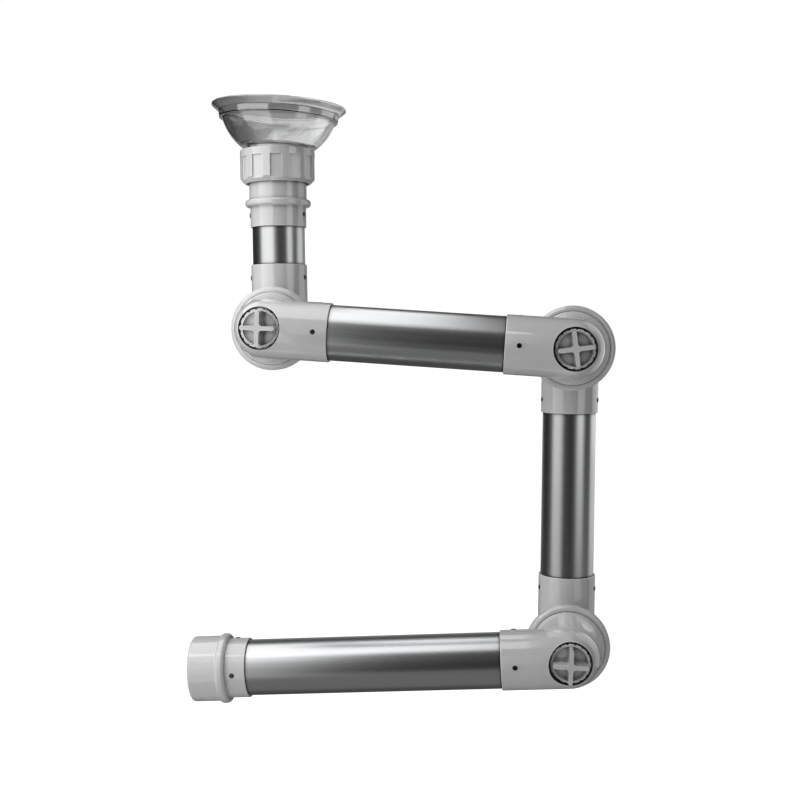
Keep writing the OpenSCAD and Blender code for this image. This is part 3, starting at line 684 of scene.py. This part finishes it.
class ARM_OT_hood_adapter(bpy.types.Operator):
    """Dresses the threaded hood adapter and its gasket"""
    bl_idname = "arm.hood_adapter"
    bl_label = "Hood Adapter"

    def execute(self, context):
        dress_in_plastic("hood_adapter")
        dress_node("hood_gasket", shared_material("Black rubber", black_rubber))
        return {"FINISHED"}


class ARM_OT_ring_nut(bpy.types.Operator):
    """Dresses the panelled ring nut that clamps the bowl"""
    bl_idname = "arm.ring_nut"
    bl_label = "Ring Nut"

    def execute(self, context):
        dress_in_plastic("ring_nut")
        return {"FINISHED"}


class ARM_OT_bowl(bpy.types.Operator):
    """Makes the clear bowl hood"""
    bl_idname = "arm.bowl"
    bl_label = "Bowl Hood"

    def execute(self, context):
        bowl = context.scene.arm_bowl
        bm = bmesh.new()
        spin_profile(bm, self.outline(bowl), bowl.steps)
        place = down_tube(ARM_LINES["hood"], bowl.lean, bowl.collar_at)
        finish_piece(bm, "Bowl_hood", place, clear_plastic("Clear bowl plastic", tuple(bowl.colour)),
                     "hood", ("hood_bowl",))
        return {"FINISHED"}

    def outline(self, bowl):
        """Half section of the bowl: distances from its axis and from its collar."""
        wall, half, edge, foot_at = bowl.wall, bowl.wall / 2, bowl.edge, bowl.foot_at
        bore, collar, foot_r = bowl.neck - wall, bowl.neck + bowl.collar_width, bowl.neck + bowl.foot_width
        centre = foot_at + math.sqrt(bowl.radius ** 2 - (foot_r - bowl.offset) ** 2)
        top = bowl.offset + math.sqrt(bowl.radius ** 2 - (centre - bowl.step_at) ** 2)
        band, band_at = top + bowl.step_width, bowl.step_at + bowl.band_height
        bead_r, rim_at = band + bowl.flare_width - bowl.bead, band_at + bowl.flare_height

        def arc(radius, low, high):
            a, b = (math.asin((centre - height) / radius) for height in (low, high))
            turns = (a + (b - a) * i / ARC_STEPS for i in range(ARC_STEPS + 1))
            return [(bowl.offset + radius * math.cos(t), centre - radius * math.sin(t)) for t in turns]

        outside = arc(bowl.radius, foot_at + wall, bowl.step_at - half)
        inside = arc(bowl.radius - wall, foot_at + wall + half, bowl.step_at)[::-1]
        foot = rounded([(bore, 0), (collar, 0), (collar, bowl.collar_height), (bowl.neck, bowl.collar_height),
                        (bowl.neck, foot_at), (foot_r, foot_at), outside[0]], [edge] * 6 + [0])[:-1]
        turns = (math.radians(BEAD_START + BEAD_TURN * i / BEAD_STEPS) for i in range(BEAD_STEPS + 1))
        bead = [(bead_r + bowl.bead * math.cos(t), rim_at + bowl.bead * math.sin(t)) for t in turns]
        step = rounded([outside[-1], (top, bowl.step_at), (band, bowl.step_at), (band + half, band_at),
                        bead[0]], [0, edge, edge, 2 * edge, 0])[1:-1]
        back = rounded([bead[-1], (band - half, band_at + wall), (band - wall, bowl.step_at + wall),
                        (top - wall, bowl.step_at + half), inside[0]], [0, 2 * edge, edge, edge, 0])[1:-1]
        floor = rounded([inside[-1], (foot_r - wall, foot_at + wall), (bore, foot_at + wall), (bore, 0)],
                        [0, edge, edge, 0])[1:-1]
        return foot + outside + step + bead + back + inside + floor


def area_lamp(name, start, end, heights, brightness):
    """An upright lamp panel between two places and two heights, of an even brightness, that faces the arm."""
    low, high = (Vector((x, y, z)) for (x, y), z in zip((start, end), heights))
    along = Vector((high.x - low.x, high.y - low.y, 0))
    data = bpy.data.lights.new(name, "AREA")
    data.shape = "RECTANGLE"
    data.size, data.size_y = along.length, heights[1] - heights[0]
    data.energy = brightness * math.pi * data.size * data.size_y
    lamp = bpy.data.objects.new(name, data)
    lamp.location = (low + high) / 2
    facing = Vector((along.y, -along.x, 0))
    if facing.dot(ARM_MIDDLE - lamp.location.xy.to_3d()) < 0:
        facing = -facing
    lamp.rotation_euler = facing.to_track_quat("-Z", "Y").to_euler()
    lamp.visible_camera = False
    bpy.context.scene.collection.objects.link(lamp)
    return lamp


class ARM_OT_stage(bpy.types.Operator):
    """Makes the floor, backdrop, lamps, world and camera"""
    bl_idname = "arm.stage"
    bl_label = "Stage"

    def execute(self, context):
        stage = context.scene.arm_stage
        self.sweep(stage)
        for name, brightness, front, back in REFLECTION_CARDS:
            self.card(name, brightness, front, back, stage.floor_height + CARD_RISE)
        self.world(stage)
        for name, start, end, steps in UPRIGHT_PANELS:
            for heights, brightness in zip(PANEL_HEIGHTS, steps):
                lamp = area_lamp("%s panel at %.1f" % (name, heights[0]), start, end, heights,
                                 brightness * stage.panel_light)
                lamp.visible_diffuse = name == "Left"
        top = area_lamp("Top panel", *TOP_PANEL, stage.top_light)
        top.location = TOP_PLACE
        top.rotation_euler = (0, 0, 0)
        key = area_lamp("Key", *KEY_PANEL, stage.key_light)
        key.visible_glossy = key.visible_transmission = False
        self.camera(stage)
        context.scene.view_settings.view_transform = "Standard"
        return {"FINISHED"}

    def sweep(self, stage):
        """One sheet: the floor, a bend, and the backdrop behind."""
        bm = bmesh.new()
        bmesh.ops.create_grid(bm, x_segments=1, y_segments=1, size=1)
        bmesh.ops.transform(bm, matrix=Matrix.Diagonal((*SWEEP_HALF, 1, 1)), verts=bm.verts)
        bmesh.ops.translate(bm, vec=(*SWEEP_MIDDLE, stage.floor_height), verts=bm.verts)

        def fold():
            below = stage.floor_height + BEND_RADIUS
            return [e for e in bm.edges if all(v.co.y > SWEEP_MIDDLE[1] and v.co.z < below for v in e.verts)]

        wall = bmesh.ops.extrude_edge_only(bm, edges=fold())
        bmesh.ops.translate(bm, vec=(0, 0, WALL_HEIGHT),
                            verts=[v for v in wall["geom"] if isinstance(v, bmesh.types.BMVert)])
        bmesh.ops.bevel(bm, geom=fold(), offset=BEND_RADIUS, offset_type="OFFSET", segments=BEND_STEPS,
                        profile=0.5, affect="EDGES", material=-1)
        for face in bm.faces:
            face.smooth = True
        sweep = mesh_object(bm, "Sweep", self.sweep_paint())

    def sweep_paint(self):
        """Pale paint: white to the camera. Seen through the bowl it glows as painted light, dark at the left
        end and brighter to the right.
        """
        material, tree, shader = new_material("Pale sweep")
        set_inputs(shader, Base_Color=SWEEP_COLOUR, Roughness=SWEEP_ROUGHNESS, Specular_IOR_Level=0,
                   Emission_Color=WHITE)
        seen = add(tree, "ShaderNodeLightPath")
        where = add(tree, "ShaderNodeTexCoord")
        across = add(tree, "ShaderNodeSeparateXYZ")
        tree.links.new(where.outputs["Object"], across.inputs[0])
        # Painted light: a glow only seen through the bowl, dark on the left, brighter to the right and dimmer
        # high up.
        behind = ramp_between(tree, across.outputs["X"], *BOWL_VIEW_ACROSS, *BOWL_VIEW_SIDES)
        dim_above = ramp_between(tree, across.outputs["Z"], *BOWL_VIEW_UP, *BOWL_VIEW_ENDS)
        behind = times(tree, times(tree, behind, dim_above), seen.outputs["Is Transmission Ray"])
        white = times(tree, seen.outputs["Is Camera Ray"], SWEEP_GLOW)
        tree.links.new(math_node(tree, "ADD", white, behind), shader.inputs["Emission Strength"])
        return material

    def card(self, name, brightness, front, back, height):
        """A level glowing card that only the reflections in the metal show: a painted reflection."""
        bm = bmesh.new()
        bmesh.ops.create_grid(bm, x_segments=1, y_segments=1, size=0.5)
        place = Matrix.Translation((CARD_MIDDLE, (front + back) / 2, height))
        place = place @ Matrix.Diagonal((CARD_WIDTH, back - front, 1, 1))
        bmesh.ops.transform(bm, matrix=place, verts=bm.verts)
        material, tree, shader = new_material(name)
        set_inputs(shader, Base_Color=BLACK, Specular_IOR_Level=0, Emission_Color=WHITE,
                   Emission_Strength=brightness)
        card = mesh_object(bm, name, material)
        card.visible_camera = card.visible_diffuse = card.visible_transmission = card.visible_shadow = False

    def world(self, stage):
        """The room: white to the camera, dim on surfaces, almost dark in reflections."""
        world = bpy.data.worlds.new("Studio")
        bpy.context.scene.world = world
        world.use_nodes = True
        tree = world.node_tree
        background = tree.nodes["Background"]
        set_inputs(background, Color=WHITE)
        seen = add(tree, "ShaderNodeLightPath")
        white = seen.outputs["Is Camera Ray"]
        glass = times(tree, seen.outputs["Is Transmission Ray"], WORLD_IN_BOWL)
        soft = times(tree, seen.outputs["Is Diffuse Ray"], stage.ambient)
        dark = times(tree, seen.outputs["Is Glossy Ray"], stage.dark_room)
        lit = math_node(tree, "ADD", math_node(tree, "ADD", soft, dark), glass)
        tree.links.new(math_node(tree, "MAXIMUM", white, lit), background.inputs["Strength"])

    def camera(self, stage):
        """The camera that sees the arm as the photo does."""
        data = bpy.data.cameras.new("Camera")
        data.lens = stage.lens
        data.sensor_width = SENSOR_WIDTH
        data.clip_start, data.clip_end = CLIP_NEAR, CLIP_FAR
        camera = bpy.data.objects.new("Camera", data)
        yaw, pitch, roll = (math.radians(a) for a in CAMERA_TURNS)
        turn = Matrix.Rotation(yaw, 3, "Z") @ Matrix.Rotation(pitch, 3, "X") @ Matrix.Rotation(roll, 3, "Y")
        right, ahead, up = turn.col[0], turn.col[1], turn.col[2]
        camera.matrix_world = Matrix((right, up, -ahead)).transposed().to_4x4()
        camera.location = SHOULDER + CAMERA_PLACE
        bpy.context.scene.collection.objects.link(camera)
        bpy.context.scene.camera = camera


SETTING_GROUPS = {
    ARM_PG_plastic: "arm_plastic", ARM_PG_metal: "arm_metal", ARM_PG_bowl: "arm_bowl",
    ARM_PG_stage: "arm_stage"}
PIECE_OPERATORS = (
    ARM_OT_tubes, ARM_OT_elbow_halves, ARM_OT_clamping_parts, ARM_OT_knobs, ARM_OT_screws,
    ARM_OT_duct_adapter, ARM_OT_hood_adapter, ARM_OT_ring_nut, ARM_OT_bowl, ARM_OT_stage)


class ARM_PT_panel(bpy.types.Panel):
    """Lists the pieces of the arm and their settings"""
    bl_idname = "ARM_PT_panel"
    bl_label = "Extraction Arm"
    bl_space_type = "VIEW_3D"
    bl_region_type = "UI"
    bl_category = "Extraction Arm"

    def draw(self, context):
        layout = self.layout
        for group, place in SETTING_GROUPS.items():
            box = layout.box()
            box.label(text=group.__doc__)
            for name in group.__annotations__:
                box.prop(getattr(context.scene, place), name)
        column = layout.column(align=True)
        for operator in PIECE_OPERATORS:
            column.operator(operator.bl_idname)


def register():
    """Adds the settings, the operators and the panel."""
    for group, place in SETTING_GROUPS.items():
        bpy.utils.register_class(group)
        setattr(bpy.types.Scene, place, bpy.props.PointerProperty(type=group))
    for operator in PIECE_OPERATORS:
        bpy.utils.register_class(operator)
    bpy.utils.register_class(ARM_PT_panel)


def unregister():
    """Takes them away again."""
    bpy.utils.unregister_class(ARM_PT_panel)
    for operator in reversed(PIECE_OPERATORS):
        bpy.utils.unregister_class(operator)
    for group, place in SETTING_GROUPS.items():
        delattr(bpy.types.Scene, place)
        bpy.utils.unregister_class(group)


def main():
    """Makes the whole arm and its stage."""
    register()
    for operator in PIECE_OPERATORS:
        group, name = operator.bl_idname.split(".")
        if getattr(getattr(bpy.ops, group), name)() != {"FINISHED"}:
            raise RuntimeError(operator.bl_label + " could not be made")


if __name__ == "__main__":
    main()
